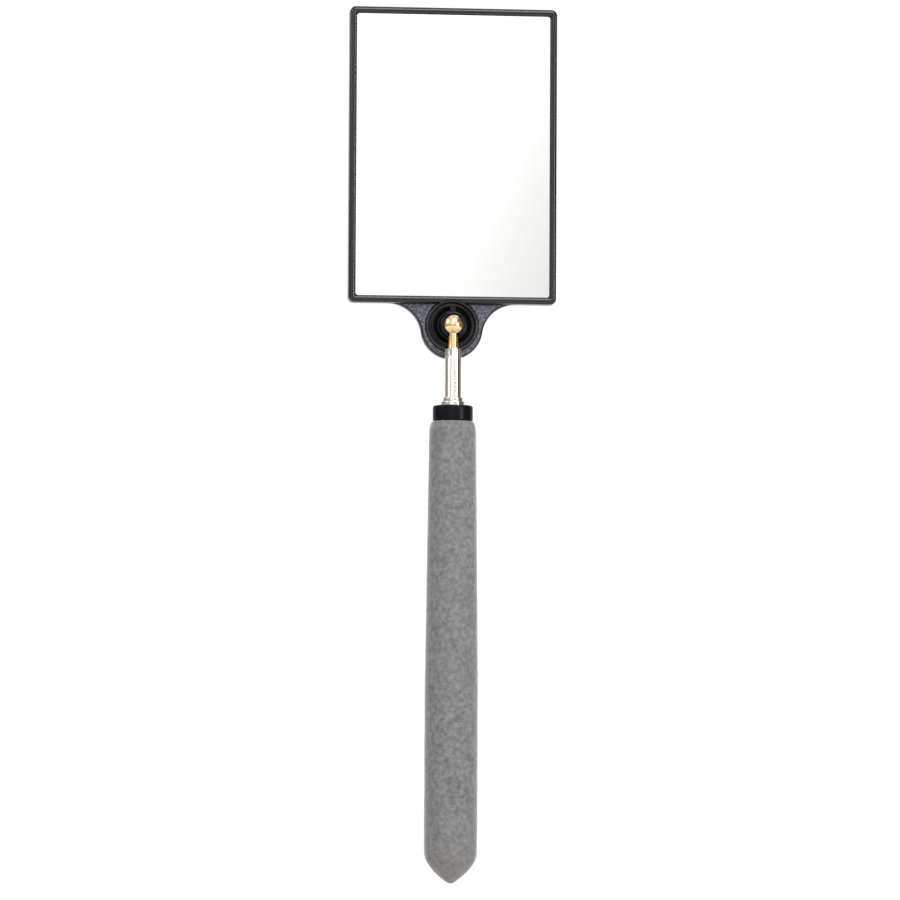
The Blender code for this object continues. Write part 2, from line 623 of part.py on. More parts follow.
def make_ball_brake(ball_centre, steel, acetal):
    """Pad that rubs on the ball, the disc spring behind it and the grub screw that loads it."""
    radius = HUB_BORE - SEAT_GAP
    dish_radius = BALL_RADIUS + SEAT_GAP
    edge = -math.degrees(math.acos((radius - 0.1) / dish_radius))
    profile = [(0.0, depth(BALL_PAD_BACK)), (radius, depth(BALL_PAD_BACK))]
    profile += [(radius, dish_radius * math.sin(math.radians(edge)) - 0.1)]
    profile += arc((0.0, 0.0), dish_radius, edge, -90.0, 4)
    profile[-1] = (0.0, -dish_radius)
    pad = add_object("ball_pad", turned(profile, closed=False), parent=ball_centre)
    pad.data.materials.append(acetal)

    low = depth(SCREW_BACK + SCREW_LENGTH + SEAT_GAP)
    high = depth(BALL_PAD_BACK - SEAT_GAP)
    profile = [
        (radius, low), (radius, low + PAD_SPRING_THICKNESS),
        (radius / 2, high), (radius / 2, high - PAD_SPRING_THICKNESS),
    ]
    spring = add_object("pad_spring", turned(profile), parent=ball_centre)
    spring.data.materials.append(steel)

    back = depth(SCREW_BACK)
    tip = back + SCREW_LENGTH
    profile = [
        (0.0, back), (SCREW_RADIUS - 0.15, back), (SCREW_RADIUS, back + 0.15),
        (SCREW_RADIUS, tip - 0.3), (SCREW_RADIUS - 0.5, tip), (0.0, tip),
    ]
    screw = add_object("tension_screw", turned(profile, closed=False), parent=ball_centre)
    screw.data.materials.append(steel)
    half = SCREW_SLOT_WIDTH / 2
    reach = SCREW_RADIUS + CUT_PAST
    slot_outline = [(-half, -reach), (half, -reach), (half, reach), (-half, reach)]
    slot = raised(slot_outline, back - CUT_PAST, back + SCREW_SLOT_DEPTH)
    combine(screw, add_object("screw_slot_cutter", slot, parent=ball_centre), "DIFFERENCE")


def make_turret_retainer(ball_centre, steel):
    """Washer on the web, wave washer under it, and a retaining ring in the hub's groove."""
    ring_back = depth(RING_BACK)
    ring_front = ring_back + RING_THICKNESS
    ring_inside = GROOVE_RADIUS + SEAT_GAP
    ring_outside = COUNTERBORE - 0.5
    section = [(ring_inside, ring_back), (ring_outside, ring_back),
               (ring_outside, ring_front), (ring_inside, ring_front)]
    ring = add_object("retaining_ring", turned(section, sweep=300.0, start=-60.0), parent=ball_centre)
    ring.data.materials.append(steel)

    inside = WEB_HOLE
    outside = COUNTERBORE - 0.3
    flat_front = depth(WEB_BACK) - SEAT_GAP
    flat_back = flat_front - WASHER_THICKNESS
    section = [(inside, flat_back), (outside, flat_back), (outside, flat_front), (inside, flat_front)]
    washer = add_object("flat_washer", turned(section), parent=ball_centre)
    washer.data.materials.append(steel)

    wave_mid = (flat_back + ring_front) / 2
    low = wave_mid - 0.1
    high = wave_mid + 0.1
    wave = turned([(inside, low), (outside - 0.1, low), (outside - 0.1, high), (inside, high)])
    for vert in wave.verts:
        vert.co.z += WAVE_HEIGHT * math.cos(3 * math.atan2(vert.co.y, vert.co.x))
    spring = add_object("wave_washer", wave, parent=ball_centre)
    spring.data.materials.append(steel)


def make_head(plastic, moulding, silvered, foam_tape, steel, acetal):
    """Everything on the mirror's side of the ball, hung from an empty at the ball's centre."""
    centre = (0.0, 0.0, (BALL_HEIGHT - ORIGIN_HEIGHT) * MM)
    ball_centre = add_empty("ball_centre", centre, (math.pi / 2, 0.0, 0.0))
    make_mirror_frame(ball_centre, plastic)
    make_glass(ball_centre, silvered, foam_tape)
    make_turret(ball_centre, moulding)
    make_ball_brake(ball_centre, steel, acetal)
    make_turret_retainer(ball_centre, steel)


def main():
    clear_scene()
    foam = material("foam_vinyl", (0.24, 0.24, 0.245), 0.85)
    nylon = material("black_nylon", (0.012, 0.012, 0.014), 0.45)
    plastic = material("black_abs", (0.018, 0.018, 0.022), 0.4)
    moulding = material("gloss_black_acetal", (0.012, 0.011, 0.013), 0.15)
    acetal = material("natural_acetal", (0.75, 0.74, 0.70), 0.4)
    aluminium = material("aluminium", (0.72, 0.73, 0.74), 0.35, 1.0)
    plated = material("nickel_plate", (0.74, 0.71, 0.67), 0.14, 1.0)
    brass = material("brass", (0.80, 0.58, 0.26), 0.18, 1.0)
    steel = material("spring_steel", (0.50, 0.50, 0.52), 0.3, 1.0)
    silvered = material("silvered_glass", (0.93, 0.94, 0.94), 0.02, 1.0)
    foam_tape = material("foam_tape", (0.05, 0.05, 0.05), 0.9)
    make_grip(foam)
    make_handle_tube(aluminium)
    make_front_collar(nylon)
    make_rear_plug(nylon)
    make_base_tube(plated)
    make_stem(plated, brass)
    make_head(plastic, moulding, silvered, foam_tape, steel, acetal)


main()
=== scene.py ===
"""Looks of the telescoping inspection mirror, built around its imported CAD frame.

Sizes are in millimetres unless a name says otherwise, and places come from the CAD nodes' boxes.
A piece of the stem is turned about Z. A piece of the head is drawn from the ball's centre, where
its local +Z is the mirror's outward normal (-Y) and its local +Y points up the mirror (+Z).
"""

import json
import math

import bmesh
import bpy
from mathutils import Matrix, Vector, noise


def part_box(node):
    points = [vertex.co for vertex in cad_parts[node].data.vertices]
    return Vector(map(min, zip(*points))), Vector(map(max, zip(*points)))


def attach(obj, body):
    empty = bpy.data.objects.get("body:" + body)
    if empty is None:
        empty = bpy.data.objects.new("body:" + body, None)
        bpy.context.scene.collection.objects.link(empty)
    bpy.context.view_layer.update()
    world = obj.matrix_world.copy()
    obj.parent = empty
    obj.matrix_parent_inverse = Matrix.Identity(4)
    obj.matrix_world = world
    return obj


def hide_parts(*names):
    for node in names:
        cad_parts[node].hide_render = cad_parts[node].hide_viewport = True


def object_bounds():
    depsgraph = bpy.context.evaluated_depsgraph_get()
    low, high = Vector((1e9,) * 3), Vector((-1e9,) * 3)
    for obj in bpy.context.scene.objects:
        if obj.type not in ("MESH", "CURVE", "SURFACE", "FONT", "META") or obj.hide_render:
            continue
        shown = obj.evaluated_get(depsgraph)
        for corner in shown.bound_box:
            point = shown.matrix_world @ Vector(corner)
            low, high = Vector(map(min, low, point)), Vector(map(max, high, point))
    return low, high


MM = 0.001
ROUND = 128                    # facets round a turned piece that the camera sees

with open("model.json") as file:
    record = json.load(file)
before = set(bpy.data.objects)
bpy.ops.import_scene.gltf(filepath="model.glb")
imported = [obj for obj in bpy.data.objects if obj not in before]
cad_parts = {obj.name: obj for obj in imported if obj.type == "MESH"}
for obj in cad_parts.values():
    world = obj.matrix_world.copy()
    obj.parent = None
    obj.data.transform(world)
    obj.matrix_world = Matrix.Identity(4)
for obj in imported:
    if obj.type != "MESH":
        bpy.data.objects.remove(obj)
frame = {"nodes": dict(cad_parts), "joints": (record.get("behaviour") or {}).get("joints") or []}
nodes = frame["nodes"]
cad_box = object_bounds()

# tubes
TUBE_WALL = 0.3
WAIST_DEPTH = 0.2              # a moving tube is this much thinner where its shims sit
CRIMP_LENGTH = 3.0
FLUTES = 9
FLUTE_DEPTH = 0.2

# mirror frame; each depth is measured forward from the flat back
RIM = 2.0
RIM_FRONT = 5.2
TAB_FRONT = 3.2
TAB_ROUND = 0.8
LOBE = 9.6
LOBE_DROP = 0.8                # the lobe's centre lies this far below the ball
FILLET = 10.5
RING = 8.2                     # outer radius of the raised ring
RING_FRONT = 3.9
RING_CROWN = 0.6
POCKET = 6.95                  # radius of the hole that the turret's disc turns in
REAR_BOSS = 0.8                # how far the rear boss stands behind the flat back


# ---------------------------------------------------------------- measures taken from the frame

def low(node):
    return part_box(node)[0] / MM


def high(node):
    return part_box(node)[1] / MM


def radius_of(node):
    return (high(node).x - low(node).x) / 2


BALL = Vector(next(joint["pos_m"] for joint in frame["joints"] if joint["name"] == "ball_tilt")) / MM
FRAME_BACK = high("mirror_frame").y - REAR_BOSS


def depth(value):
    """Local height, from the ball's centre, of a depth measured forward from the frame's back."""
    return value - FRAME_BACK


# ---------------------------------------------------------------- mesh helpers

def arc(centre, radius, start, end, steps):
    """Points of an arc in a plane, angles in degrees, both ends included."""
    points = []
    for i in range(steps + 1):
        angle = math.radians(start + (end - start) * i / steps)
        points.append((centre[0] + radius * math.cos(angle), centre[1] + radius * math.sin(angle)))
    return points


def turned(profile, closed=True, sides=ROUND, sweep=360.0, start=0.0):
    """Turn a profile of (radius, height) points about Z, as a ring, a solid or a part of a ring."""
    shape = bmesh.new()
    turn = Matrix.Rotation(math.radians(start), 3, "Z")
    corners = [shape.verts.new(turn @ Vector((radius, 0.0, z))) for radius, z in profile]
    full = sweep >= 360.0
    if full:
        geometry = [shape.edges.new(pair) for pair in zip(corners, corners[1:])]
        if closed:
            geometry.append(shape.edges.new((corners[-1], corners[0])))
    else:
        geometry = [shape.faces.new(corners)]
    bmesh.ops.spin(
        shape, geom=geometry + corners, cent=(0, 0, 0), axis=(0, 0, 1),
        angle=math.radians(sweep), steps=round(sides * sweep / 360.0), use_merge=full,
    )
    bmesh.ops.remove_doubles(shape, verts=shape.verts, dist=1e-5)
    return shape


def raised(outline, bottom, top):
    """Extrude a closed outline of (x, y) points from one level up to another."""
    shape = bmesh.new()
    base = shape.faces.new([shape.verts.new((x, y, bottom)) for x, y in outline])
    grown = bmesh.ops.extrude_face_region(shape, geom=[base])
    moved = [item for item in grown["geom"] if isinstance(item, bmesh.types.BMVert)]
    bmesh.ops.translate(shape, vec=(0, 0, top - bottom), verts=moved)
    return shape


def tipped(shape, degrees, axis):
    """Turn a whole bmesh about an axis through its origin."""
    turn = Matrix.Rotation(math.radians(degrees), 3, axis)
    bmesh.ops.rotate(shape, verts=shape.verts, cent=(0, 0, 0), matrix=turn)
    return shape


def stacked(loops):
    """Skin a stack of outlines with the same number of points, and close both ends."""
    shape = bmesh.new()
    rings = [[shape.verts.new(point) for point in loop] for loop in loops]
    for under, over in zip(rings, rings[1:]):
        for i in range(len(under)):
            j = (i + 1) % len(under)
            shape.faces.new((under[i], under[j], over[j], over[i]))
    shape.faces.new(rings[0][::-1])
    shape.faces.new(rings[-1])
    return shape


def stem_piece(name, shape, sharp=40.0):
    """Finish a bmesh drawn in the row frame, in millimetres."""
    bmesh.ops.scale(shape, vec=(MM, MM, MM), verts=shape.verts)
    bmesh.ops.recalc_face_normals(shape, faces=shape.faces)
    mesh = bpy.data.meshes.new(name)
    shape.to_mesh(mesh)
    shape.free()
    mesh.shade_smooth()
    mesh.set_sharp_from_angle(angle=math.radians(sharp))
    piece = bpy.data.objects.new(name, mesh)
    bpy.context.collection.objects.link(piece)
    return piece


def head_piece(name, shape, sharp=40.0):
    """Finish a bmesh drawn from the ball's centre, with the mirror's normal along local +Z."""
    tipped(shape, 90.0, "X")
    bmesh.ops.translate(shape, vec=BALL, verts=shape.verts)
    return stem_piece(name, shape, sharp)


def dress(piece, body, material, node):
    """Give a piece its material and body, and hide the CAD node that it stands for."""
    piece.data.materials.append(material)
    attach(piece, body)
    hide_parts(node)


def bake_modifiers(piece):
    """Replace a piece's mesh with what its modifiers make of it."""
    now = bpy.context.evaluated_depsgraph_get()
    made = bpy.data.meshes.new_from_object(piece.evaluated_get(now), depsgraph=now)
    piece.modifiers.clear()
    piece.data = made


def cut(piece, cutter, operation="DIFFERENCE"):
    """Apply one Boolean to a piece and remove the tool."""
    step = piece.modifiers.new("cut", "BOOLEAN")
    step.operation = operation
    step.object = cutter
    bake_modifiers(piece)
    bpy.data.objects.remove(cutter)


def sharpen(piece, degrees=35.0):
    """Mark a cut piece's edges as sharp again."""
    piece.data.set_sharp_from_angle(angle=math.radians(degrees))


# ---------------------------------------------------------------- node helpers

class Nodes:
    """A node tree, and short ways to add to it."""

    def __init__(self, tree):
        self.tree = tree

    def node(self, kind, **settings):
        made = self.tree.nodes.new(kind)
        for name, value in settings.items():
            setattr(made, name, value)
        return made

    def feed(self, value, socket):
        """Give a socket a colour, a number or another node's output."""
        if isinstance(value, tuple):
            socket.default_value = (*value, 1.0)
        elif isinstance(value, (int, float)):
            socket.default_value = value
        else:
            self.tree.links.new(value, socket)

    def math(self, operation, first, second=0.0):
        made = self.node("ShaderNodeMath", operation=operation)
        self.feed(first, made.inputs[0])
        self.feed(second, made.inputs[1])
        return made.outputs[0]

    def spread(self, value, from_low, from_high, to_low=0.0, to_high=1.0, shape="LINEAR"):
        made = self.node("ShaderNodeMapRange", interpolation_type=shape)
        for name, setting in (("From Min", from_low), ("From Max", from_high),
                              ("To Min", to_low), ("To Max", to_high), ("Value", value)):
            self.feed(setting, made.inputs[name])
        return made.outputs["Result"]

    def mix(self, factor, first, second, kind="RGBA"):
        """Blend two colours, or two numbers if kind is FLOAT."""
        made = self.node("ShaderNodeMix", data_type=kind)
        self.feed(factor, made.inputs["Factor"])
        self.feed(first, made.inputs["A"])
        self.feed(second, made.inputs["B"])
        return made.outputs["Result"]

    def split(self, vector):
        """The X, Y and Z outputs of a vector."""
        made = self.node("ShaderNodeSeparateXYZ")
        self.tree.links.new(vector, made.inputs["Vector"])
        return made.outputs


class Shader(Nodes):
    """A material's node tree with a Principled shader."""

    def __init__(self, name):
        self.material = bpy.data.materials.new(name)
        self.material.use_nodes = True
        super().__init__(self.material.node_tree)
        self.principled = self.tree.nodes["Principled BSDF"]
        texture = self.node("ShaderNodeTexCoord")
        self.place = texture.outputs["Object"]
        self.normal = texture.outputs["Normal"]

    def set(self, **values):
        for name, value in values.items():
            self.feed(value, self.principled.inputs[name.replace("_", " ")])

    def link(self, source, socket_name):
        self.tree.links.new(source, self.principled.inputs[socket_name])

    def noise(self, size_mm, detail=3.0, stretch=(1.0, 1.0, 1.0), roughness=0.5):
        """Noise whose features are about size_mm across, larger along an axis that stretch shrinks."""
        mapping = self.node("ShaderNodeMapping")
        mapping.inputs["Scale"].default_value = stretch
        self.tree.links.new(self.place, mapping.inputs["Vector"])
        made = self.node("ShaderNodeTexNoise")
        made.inputs["Scale"].default_value = 1.0 / (size_mm * MM)
        made.inputs["Detail"].default_value = detail
        made.inputs["Roughness"].default_value = roughness
        self.tree.links.new(mapping.outputs["Vector"], made.inputs["Vector"])
        return made.outputs["Fac"]

    def cells(self, size_mm):
        made = self.node("ShaderNodeTexVoronoi")
        made.inputs["Scale"].default_value = 1.0 / (size_mm * MM)
        self.tree.links.new(self.place, made.inputs["Vector"])
        return made.outputs["Distance"]

    def bump(self, height, depth_mm, under=None):
        """Raise the surface by up to depth_mm where height is 1."""
        made = self.node("ShaderNodeBump")
        made.inputs["Strength"].default_value = 1.0
        made.inputs["Distance"].default_value = depth_mm * MM
        self.tree.links.new(height, made.inputs["Height"])
        if under is not None:
            self.tree.links.new(under, made.inputs["Normal"])
        return made.outputs["Normal"]


# ---------------------------------------------------------------- materials

def foam_vinyl():
    """Grey foam skin: felt-like speckle, pale grazing edges and a lighter, warmer tip."""
    s = Shader("foam_vinyl_grey")
    s.set(Sheen_Weight=0.9, Sheen_Roughness=0.35, Specular_IOR_Level=0.3)
    cloudy = s.spread(s.noise(6.0), 0.35, 0.65)
    tone = s.mix(cloudy, (0.146, 0.150, 0.159), (0.192, 0.189, 0.188))
    speckle = s.spread(s.noise(1.5, 5.0, roughness=0.7), 0.36, 0.64)
    felt = s.mix(speckle, (0.092, 0.097, 0.106), (0.250, 0.245, 0.243))
    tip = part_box("cushion_grip")[0].z
    # the last 14 mm turn lighter and warmer towards the tip
    toward_tip = s.spread(s.split(s.place)["Z"], tip, tip + 14 * MM, 0.5, 0.0)
    s.link(s.mix(toward_tip, s.mix(0.62, tone, felt), (0.245, 0.212, 0.180)), "Base Color")
    s.link(s.spread(s.noise(1.2), 0.3, 0.7, 0.66, 0.88), "Roughness")
    skin = s.bump(s.noise(0.5, roughness=0.6), 0.09)
    s.link(s.bump(s.noise(2.2), 0.18, skin), "Normal")
    return s.material


def black_nylon():
    s = Shader("black_nylon")
    s.set(Base_Color=(0.004, 0.004, 0.006), Specular_IOR_Level=0.11)
    s.link(s.spread(s.noise(0.8), 0.3, 0.7, 0.24, 0.34), "Roughness")
    s.link(s.bump(s.noise(0.3, 2.0), 0.006), "Normal")
    return s.material


def black_abs():
    """Polished black moulding, with a coarse grain on the face of the tab round the raised ring; the
    grain's specks are painted lighter and bluer as painted glints.
    """
    s = Shader("black_abs")
    frame_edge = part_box("mirror_glass")[0].z - 2.2 * MM
    below_frame = s.spread(s.split(s.place)["Z"], frame_edge - 0.4 * MM, frame_edge + 0.1 * MM, 1.0, 0.0)
    from_ball = s.node("ShaderNodeVectorMath", operation="DISTANCE")
    s.tree.links.new(s.place, from_ball.inputs[0])
    from_ball.inputs[1].default_value = BALL * MM
    off_ring = s.spread(from_ball.outputs["Value"], 8.9 * MM, 9.2 * MM)
    on_face = s.spread(s.split(s.normal)["Y"], -0.97, -0.9, 1.0, 0.0)
    grained = s.math("MULTIPLY", s.math("MULTIPLY", below_frame, off_ring), on_face)
    grain = s.noise(0.9, roughness=0.65)
    # painted glints: the grain's specks are painted lighter and bluer than the black moulding, standing in
    # for the sheen that the grained face catches
    painted_grain_glints = s.mix(s.spread(grain, 0.38, 0.64), (0.016, 0.017, 0.026), (0.120, 0.126, 0.160))
    s.set(Specular_IOR_Level=0.55)
    s.link(s.mix(grained, (0.004, 0.004, 0.006), painted_grain_glints), "Base Color")
    polish = s.spread(s.noise(2.5), 0.3, 0.7, 0.20, 0.30)
    s.link(s.mix(grained, polish, 0.42, kind="FLOAT"), "Roughness")
    s.link(s.bump(s.math("MULTIPLY", grain, grained), 0.34), "Normal")
    return s.material


def gloss_moulding():
    s = Shader("gloss_black_moulding")
    s.set(Base_Color=(0.005, 0.004, 0.005), Specular_IOR_Level=0.22)
    s.link(s.spread(s.noise(1.5), 0.3, 0.7, 0.07, 0.16), "Roughness")
    s.link(s.bump(s.noise(2.2, 2.0), 0.012), "Normal")
    return s.material


def metal(name, bright, dull, roughness, stretch, line_depth=0.0012):
    """Stained metal with fine tool or draw lines, which run along the axis that stretch shrinks."""
    s = Shader(name)
    s.set(Metallic=1.0)
    stain = s.spread(s.noise(6.0, 4.0), 0.42, 0.72)
    s.link(s.mix(stain, bright, dull), "Base Color")
    s.link(s.spread(s.noise(2.0, 4.0), 0.3, 0.7, *roughness), "Roughness")
    s.link(s.bump(s.noise(0.12, 2.0, stretch), line_depth), "Normal")
    return s.material


def silvered_mirror():
    s = Shader("silvered_glass")
    s.set(Metallic=1.0, Base_Color=(0.955, 0.965, 0.96))
    s.link(s.spread(s.noise(22.0), 0.35, 0.8, 0.004, 0.03), "Roughness")
    return s.material


def ground_glass_edge():
    s = Shader("ground_glass_edge")
    s.set(Base_Color=(0.42, 0.50, 0.47))
    s.link(s.spread(s.noise(0.6), 0.3, 0.7, 0.4, 0.65), "Roughness")
    s.link(s.bump(s.noise(0.2, 2.0), 0.01), "Normal")
    return s.material


def acetal():
    s = Shader("natural_acetal")
    s.set(Base_Color=(0.72, 0.71, 0.67), Subsurface_Weight=0.1, Subsurface_Scale=0.001)
    s.link(s.spread(s.noise(0.7), 0.3, 0.7, 0.32, 0.45), "Roughness")
    return s.material


def foam_tape():
    s = Shader("foam_tape")
    s.set(Base_Color=(0.04, 0.04, 0.04), Roughness=0.9)
    s.link(s.bump(s.cells(0.5), 0.1), "Normal")
    return s.material


# ---------------------------------------------------------------- handle

def make_grip(material):
    """Dip-moulded foam sleeve: blunt tip, slow taper, softly rolled mouth, slight waviness."""
    bottom = low("cushion_grip").z
    length = high("cushion_grip").z - bottom
    body = radius_of("cushion_grip")
    bore = radius_of("handle_tube") + 0.2
    mouth = 7.3
    tip = 10.0                 # length of the rounded tip
    nose = 0.5                 # the larger, the blunter
    taper_start = 60.0
    roll = 4.0                 # length of the rolled mouth
    taper_end = length - roll
    outline = [(0.0, 0.0)]
    tip_steps = 40
    full = math.sqrt(tip * (tip + 2 * nose))
    for i in range(1, tip_steps + 1):
        distance = tip * (i / tip_steps) ** 2
        share = math.sqrt(distance * (distance + 2 * nose)) / full
        outline.append((body * math.sin(math.pi / 2 * share ** 0.9), distance))
    side_steps = 90
    for i in range(1, side_steps + 1):
        distance = tip + (taper_end - tip) * i / side_steps
        share = max(0.0, distance - taper_start) / (taper_end - taper_start)
        outline.append((body - (body - mouth) * share, distance))
    roll_steps = 12
    for i in range(1, roll_steps + 1):
        angle = math.pi / 2 * i / roll_steps
        across = (mouth - bore - 0.25) * (1 - math.cos(angle))
        outline.append((mouth - across, taper_end + roll * math.sin(angle)))
    outline += [(bore + 0.1, length - 0.05), (bore, length - 0.2), (bore, 8.0), (0.0, 7.0)]
    shape = turned([(r, bottom + z) for r, z in outline], closed=False)
    ripple(shape, bottom, body, bore)
    grip = stem_piece("grip_sleeve", shape)
    dress(grip, "handle", material, "cushion_grip")


def ripple(shape, bottom, body, bore):
    """Sink the grip's outer skin unevenly, by a few hundredths, and leave its bore alone."""
    for vert in shape.verts:
        around = math.hypot(vert.co.x, vert.co.y)
        if around > bore + 0.3 or vert.co.z < bottom + 5.0:
            swell = 0.07 * noise.noise(vert.co * 0.11) - 0.05
            fade = min(1.0, around / body)
            vert.co.x *= 1 + fade * swell / max(around, 1.0)
            vert.co.y *= 1 + fade * swell / max(around, 1.0)


def make_collar(material):
    """Flange with a rounded shoulder, and a spigot that goes down into the handle tube."""
    bottom = low("front_collar").z
    top = high("front_collar").z
    seat = high("handle_tube").z + 0.2
    outside = radius_of("front_collar")
    bore = radius_of("base_tube") + 0.2
    spigot = radius_of("handle_tube") - 1.0
    under_round = 0.25
    shoulder = 0.7
    mouth_round = 0.35
    profile = [(bore, top - mouth_round), (bore, bottom), (spigot - 0.4, bottom)]
    profile += [(spigot, bottom + 0.8), (spigot, seat)]
    profile += arc((outside - under_round, seat + under_round), under_round, -90, 0, 6)
    profile += arc((outside - shoulder, top - shoulder), shoulder, 0, 90, 12)
    profile += arc((bore + mouth_round, top - mouth_round), mouth_round, 90, 180, 6)[:-1]
    collar = stem_piece("collar_moulding", turned(profile))
    dress(collar, "handle", material, "front_collar")


# ---------------------------------------------------------------- telescoping stem

def tube_section(node, inner_node):
    """Section of a plated tube with a rolled lip that clears the tube inside it.

    It runs from the outside's bottom up over the lip and back down the bore.
    """
    outside = radius_of(node)
    lip_inside = radius_of(inner_node) + 0.1
    bottom = low(node).z
    top = high(node).z
    inside = outside - TUBE_WALL
    roll = (outside - lip_inside) / 2
    section = [(outside - 0.1, bottom), (outside, bottom + 0.1), (outside, top - 0.9)]
    section += arc((outside - roll, top - roll), roll, 0, 180, 14)
    section += [(lip_inside, top - 0.65), (inside, top - 0.8), (inside, bottom)]
    return section


def swaged_section(node, shim, mouth):
    """Section of a moving tube: bead, waist for the shims, shoulder, straight wall and its mouth."""
    outside = radius_of(node)
    bottom = low(node).z
    waist = outside - WAIST_DEPTH
    waist_low = low(shim).z - 0.1
    waist_high = high(shim).z + 0.1
    section = [(outside - 0.1, bottom), (outside, bottom + 0.1), (outside, bottom + 1.0)]
    section += [(waist, waist_low), (waist, waist_high), (outside, waist_high + WAIST_DEPTH)]
    section += mouth
    section += [(outside - TUBE_WALL, waist_high + 0.6), (waist - TUBE_WALL, waist_high + 0.4)]
    section += [(waist - TUBE_WALL, bottom)]
    return section


def crimp_section():
    """The inner tube's mouth, rolled in over the stud's shoulder."""
    top = high("inner_tube").z
    outside = radius_of("inner_tube")
    inside = outside - TUBE_WALL
    lip = 0.24                 # radius of the rolled edge
    steps = 24
    section = []
    for i in range(steps + 1):
        section.append((outside, top - CRIMP_LENGTH + (CRIMP_LENGTH - lip) * i / steps))
    section += arc((outside - lip, top - lip), lip, 0, 90, 6)
    section += [(1.9, top), (1.9, top - 0.4), (inside, top - 0.7), (inside, top - 1.1)]
    section += [(2.0, top - 1.4), (2.0, top - 2.2), (inside, top - 2.5)]
    return section


def press_flutes(shape):
    """Press the crimp's flutes into the outside of the inner tube's mouth."""
    middle = high("inner_tube").z - CRIMP_LENGTH / 2
    outside = radius_of("inner_tube")
    for vert in shape.verts:
        around = math.hypot(vert.co.x, vert.co.y)
        reach = abs(vert.co.z - middle) / (CRIMP_LENGTH / 2)
        if around < outside - 0.25 or reach >= 1.0:
            continue
        turn = math.atan2(vert.co.y, vert.co.x)
        groove = (0.5 + 0.5 * math.cos(FLUTES * turn)) ** 2
        sunk = FLUTE_DEPTH * groove * (1 - reach ** 2) ** 0.5
        vert.co.x *= (around - sunk) / around
        vert.co.y *= (around - sunk) / around


def make_tubes(material):
    base = stem_piece("base_tube_plated", turned(tube_section("base_tube", "middle_tube")))
    dress(base, "handle", material, "base_tube")
    mouth = tube_section("middle_tube", "inner_tube")[2:-1]
    middle_shape = turned(swaged_section("middle_tube", "middle_shim_front", mouth))
    middle = stem_piece("middle_tube_plated", middle_shape)
    dress(middle, "middle_tube", material, "middle_tube")
    inner_shape = turned(swaged_section("inner_tube", "inner_shim_front", crimp_section()))
    press_flutes(inner_shape)
    inner = stem_piece("inner_tube_plated", inner_shape)
    dress(inner, "inner_tube", material, "inner_tube")


def make_ball_stud(material):
    """Ball, waisted neck and shank as one turned piece."""
    mouth = high("inner_tube").z
    foot = low("ball_stud").z
    ball = radius_of("ball_stud")
    neck = 1.5
    root = neck + 0.2          # the neck's radius where it leaves the tube
    shank = 2.05
    profile = [(0.0, foot), (shank - 0.4, foot), (shank, foot + 0.4), (shank, mouth - 2.9)]
    profile += [(root, mouth - 2.6), (root, mouth - 1.1), (shank, mouth - 0.9), (shank, mouth - 0.7)]
    profile += [(root, mouth - 0.6), (root, mouth + 0.1)]
    joint = -math.acos(neck / ball)
    neck_low = mouth + 0.1
    neck_high = BALL.z + ball * math.sin(joint)
    steps = 14
    for i in range(1, steps + 1):
        share = i / steps
        profile.append((neck + (root - neck) * (1 - share) ** 2, neck_low + (neck_high - neck_low) * share))
    profile += arc((0.0, BALL.z), ball, math.degrees(joint), 90.0, 48)[1:]
    profile[-1] = (0.0, BALL.z + ball)
    stud = stem_piece("ball_stud_turned", turned(profile, closed=False))
    dress(stud, "inner_tube", material, "ball_stud")


# ---------------------------------------------------------------- mirror head

def mirror_size():
    """Width and height of the frame, from the glass that sits inside its rim."""
    glass_low = low("mirror_glass")
    glass_high = high("mirror_glass")
    grown = 2 * (RIM + 0.2)
    return glass_high.x - glass_low.x + grown, glass_high.z - glass_low.z + grown


def mirror_middle():
    """Height of the mirror's middle above the ball's centre."""
    return (low("mirror_glass").z + high("mirror_glass").z) / 2 - BALL.z


def mirror_outline(inset, corner, level):
    """Rounded rectangle at one level, inset from the frame's outer edge."""
    width, height = mirror_size()
    x = width / 2 - inset - corner
    y = height / 2 - inset - corner
    outline = []
    for cx, cy, angle in [(x, y, 0), (-x, y, 90), (-x, -y, 180), (x, -y, 270)]:
        outline += arc((cx, mirror_middle() + cy), corner, angle, angle + 90, 8)
    return [(x, y, depth(level)) for x, y in outline]


def tray():
    """Tray with a soft outer edge, a rounded rim and a pocket for the glass."""
    soft = 0.45                # inset of the back's soft edge
    crown = 1.1                # radius of the rim's outer round
    shoulder = RIM_FRONT - 1.15
    section = [(soft, 0.0), (0.13, 0.13), (0.0, soft), (0.0, shoulder)]
    section += [(crown - x, y) for x, y in arc((0.0, shoulder), crown, 0, 90, 8)[1:]]
    section += [(RIM - 0.45, RIM_FRONT - 0.08), (RIM - 0.12, RIM_FRONT - 0.35), (RIM, RIM_FRONT - 0.8)]
    section += [(RIM, 1.2)]
    return stacked([mirror_outline(inset, max(1.8 - inset, 0.35), level) for inset, level in section])


def tab_outline(grow):
    """Lobe with a concave fillet up to the frame's lower edge on each side, grown by an offset."""
    lower_edge = mirror_middle() - mirror_size()[1] / 2
    fillet_y = lower_edge - FILLET
    fillet_x = math.sqrt((LOBE + FILLET) ** 2 - (fillet_y + LOBE_DROP) ** 2)
    touch = math.degrees(math.atan2(fillet_y + LOBE_DROP, fillet_x))
    right = arc((fillet_x, fillet_y), FILLET - grow, 90.0, 180.0 + touch, 28)
    left = [(-x, y) for x, y in reversed(right)]
    lobe = arc((0.0, -LOBE_DROP), LOBE + grow, touch, -180.0 - touch, 64)
    root = lower_edge + 1.2
    return [(fillet_x, root)] + right + lobe[1:-1] + left + [(-fillet_x, root)]


def tab():
    back = 0.3                 # radius of the tab's back edge
    levels = [(-back, 0.0), (-back * 0.3, back * 0.3), (0.0, back)]
    levels += [(x - TAB_ROUND, TAB_FRONT - TAB_ROUND + y) for x, y in arc((0.0, 0.0), TAB_ROUND, 0, 90, 5)]
    return stacked([[(x, y, depth(level)) for x, y in tab_outline(grow)] for grow, level in levels])


